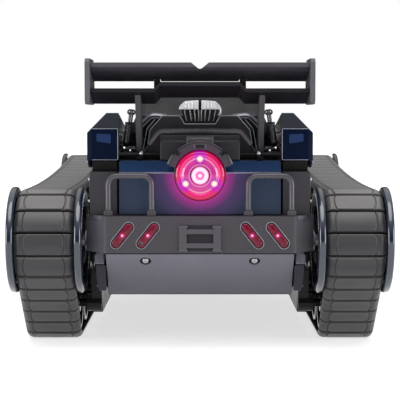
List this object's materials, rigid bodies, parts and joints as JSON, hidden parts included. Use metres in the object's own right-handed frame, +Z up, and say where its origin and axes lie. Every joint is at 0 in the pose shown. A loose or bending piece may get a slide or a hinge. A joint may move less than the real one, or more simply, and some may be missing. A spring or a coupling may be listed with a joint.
{
  "type": "tracked robot chassis",
  "caption": "Tracked chassis with rubber belts over sprocketless drive wheels, idlers and road wheels, gear drive, tub hull, body panels, tail lamp and rear wing.",
  "frame": {"origin": "on the ground plane, under the centre of the bounding box", "axes": "+Z up, +Y forward along the tracks, +X to the vehicle's right; the wing and lamp are at -Y"},
  "size_m": [0.245, 0.4, 0.1868],
  "materials": {
    "track_rubber": "ribbed satin",
    "black_plastic": "fine satin",
    "gloss_black": "polished",
    "grey_plastic": "satin",
    "light_grey_plastic": "satin",
    "blue_body": "pearl",
    "blue_ring": "satin pearl",
    "lamp_red": "clear",
    "silver_trim": "polished",
    "steel": "turned",
    "circuit_green": "lacquered",
    "cell_wrap": "shrink film",
    "tank_plastic": "translucent"
  },
  "bodies": {
    "hull": {"chassis_tub": "grey_plastic", "skid_plate": "light_grey_plastic", "hull_deck": "grey_plastic", "rear_bumper": "grey_plastic", "rear_panel": "blue_body", "lamp_housing": "grey_plastic", "lamp_lens": "lamp_red", "spray_nozzle": "lamp_red", "rear_cage": "black_plastic", "engine_cover": "gloss_black", "air_intake": "silver_trim", "cabin_shell": "gloss_black", "hood_panel": "blue_body", "front_bumper": "grey_plastic", "wing_lower_blade": "grey_plastic", "wing_upper_blade": "grey_plastic", "battery_pack": "cell_wrap", "battery_door": "grey_plastic", "battery_door_screw": "steel", "circuit_board": "circuit_green", "spray_tank": "tank_plastic", "track_left": "track_rubber", "track_right": "track_rubber", "side_frame_left": "black_plastic", "side_frame_right": "black_plastic", "motor_left": "steel", "motor_right": "steel", "grab_handle_left": "grey_plastic", "grab_handle_right": "grey_plastic", "tail_lamp_left": "lamp_red", "tail_lamp_right": "lamp_red", "side_pod_left": "blue_body", "side_pod_right": "blue_body", "wing_endplate_left": "grey_plastic", "wing_endplate_right": "grey_plastic", "wing_strut_left": "grey_plastic", "wing_strut_right": "grey_plastic"},
    "drive_left": {"drive_wheel_left": "black_plastic", "drive_ring_outer_left": "blue_ring", "drive_ring_inner_left": "blue_ring", "drive_axle_left": "steel"},
    "pinion_left": {"motor_pinion_left": "steel"},
    "idler_left": {"idler_wheel_left": "black_plastic"},
    "roller_left_1": {"road_wheel_left_1": "black_plastic"},
    "roller_left_2": {"road_wheel_left_2": "black_plastic"},
    "roller_left_3": {"road_wheel_left_3": "black_plastic"},
    "roller_left_4": {"road_wheel_left_4": "black_plastic"},
    "roller_left_5": {"road_wheel_left_5": "black_plastic"},
    "drive_right": {"drive_wheel_right": "black_plastic", "drive_ring_outer_right": "blue_ring", "drive_ring_inner_right": "blue_ring", "drive_axle_right": "steel"},
    "pinion_right": {"motor_pinion_right": "steel"},
    "idler_right": {"idler_wheel_right": "black_plastic"},
    "roller_right_1": {"road_wheel_right_1": "black_plastic"},
    "roller_right_2": {"road_wheel_right_2": "black_plastic"},
    "roller_right_3": {"road_wheel_right_3": "black_plastic"},
    "roller_right_4": {"road_wheel_right_4": "black_plastic"},
    "roller_right_5": {"road_wheel_right_5": "black_plastic"},
    "switch_knob": {"power_switch": "black_plastic"}
  },
  "joints": [
    {"name": "drive_left_spin", "type": "hinge", "parent": "hull", "child": "drive_left", "pos_m": [-0.0985, -0.1655, 0.0705], "axis": [1, 0, 0], "continuous": true},
    {"name": "pinion_left_spin", "type": "hinge", "parent": "hull", "child": "pinion_left", "pos_m": [-0.0435, -0.1463, 0.0705], "axis": [1, 0, 0], "continuous": true},
    {"name": "idler_left_spin", "type": "hinge", "parent": "hull", "child": "idler_left", "pos_m": [-0.0985, 0.1655, 0.0833], "axis": [1, 0, 0], "continuous": true},
    {"name": "roller_left_1_spin", "type": "hinge", "parent": "hull", "child": "roller_left_1", "pos_m": [-0.0985, -0.124, 0.0241], "axis": [1, 0, 0], "continuous": true},
    {"name": "roller_left_2_spin", "type": "hinge", "parent": "hull", "child": "roller_left_2", "pos_m": [-0.0985, -0.081, 0.0241], "axis": [1, 0, 0], "continuous": true},
    {"name": "roller_left_3_spin", "type": "hinge", "parent": "hull", "child": "roller_left_3", "pos_m": [-0.0985, -0.038, 0.0241], "axis": [1, 0, 0], "continuous": true},
    {"name": "roller_left_4_spin", "type": "hinge", "parent": "hull", "child": "roller_left_4", "pos_m": [-0.0985, 0.005, 0.0241], "axis": [1, 0, 0], "continuous": true},
    {"name": "roller_left_5_spin", "type": "hinge", "parent": "hull", "child": "roller_left_5", "pos_m": [-0.0985, 0.048, 0.0241], "axis": [1, 0, 0], "continuous": true},
    {"name": "drive_right_spin", "type": "hinge", "parent": "hull", "child": "drive_right", "pos_m": [0.0985, -0.1655, 0.0705], "axis": [1, 0, 0], "continuous": true},
    {"name": "pinion_right_spin", "type": "hinge", "parent": "hull", "child": "pinion_right", "pos_m": [0.0435, -0.1463, 0.0705], "axis": [1, 0, 0], "continuous": true},
    {"name": "idler_right_spin", "type": "hinge", "parent": "hull", "child": "idler_right", "pos_m": [0.0985, 0.1655, 0.0833], "axis": [1, 0, 0], "continuous": true},
    {"name": "roller_right_1_spin", "type": "hinge", "parent": "hull", "child": "roller_right_1", "pos_m": [0.0985, -0.124, 0.0241], "axis": [1, 0, 0], "continuous": true},
    {"name": "roller_right_2_spin", "type": "hinge", "parent": "hull", "child": "roller_right_2", "pos_m": [0.0985, -0.081, 0.0241], "axis": [1, 0, 0], "continuous": true},
    {"name": "roller_right_3_spin", "type": "hinge", "parent": "hull", "child": "roller_right_3", "pos_m": [0.0985, -0.038, 0.0241], "axis": [1, 0, 0], "continuous": true},
    {"name": "roller_right_4_spin", "type": "hinge", "parent": "hull", "child": "roller_right_4", "pos_m": [0.0985, 0.005, 0.0241], "axis": [1, 0, 0], "continuous": true},
    {"name": "roller_right_5_spin", "type": "hinge", "parent": "hull", "child": "roller_right_5", "pos_m": [0.0985, 0.048, 0.0241], "axis": [1, 0, 0], "continuous": true},
    {"name": "power_switch_slide", "type": "slide", "parent": "hull", "child": "switch_knob", "axis": [1, 0, 0], "range_m": [0, 0.0038]}
  ],
  "couplings": [
    {"joint": "pinion_left_spin", "follows": "drive_left_spin", "ratio": -3},
    {"joint": "idler_left_spin", "follows": "drive_left_spin", "ratio": 1},
    {"joint": "roller_left_1_spin", "follows": "drive_left_spin", "ratio": 1.4592},
    {"joint": "roller_left_2_spin", "follows": "drive_left_spin", "ratio": 1.4592},
    {"joint": "roller_left_3_spin", "follows": "drive_left_spin", "ratio": 1.4592},
    {"joint": "roller_left_4_spin", "follows": "drive_left_spin", "ratio": 1.4592},
    {"joint": "roller_left_5_spin", "follows": "drive_left_spin", "ratio": 1.4592},
    {"joint": "pinion_right_spin", "follows": "drive_right_spin", "ratio": -3},
    {"joint": "idler_right_spin", "follows": "drive_right_spin", "ratio": 1},
    {"joint": "roller_right_1_spin", "follows": "drive_right_spin", "ratio": 1.4592},
    {"joint": "roller_right_2_spin", "follows": "drive_right_spin", "ratio": 1.4592},
    {"joint": "roller_right_3_spin", "follows": "drive_right_spin", "ratio": 1.4592},
    {"joint": "roller_right_4_spin", "follows": "drive_right_spin", "ratio": 1.4592},
    {"joint": "roller_right_5_spin", "follows": "drive_right_spin", "ratio": 1.4592}
  ]
}
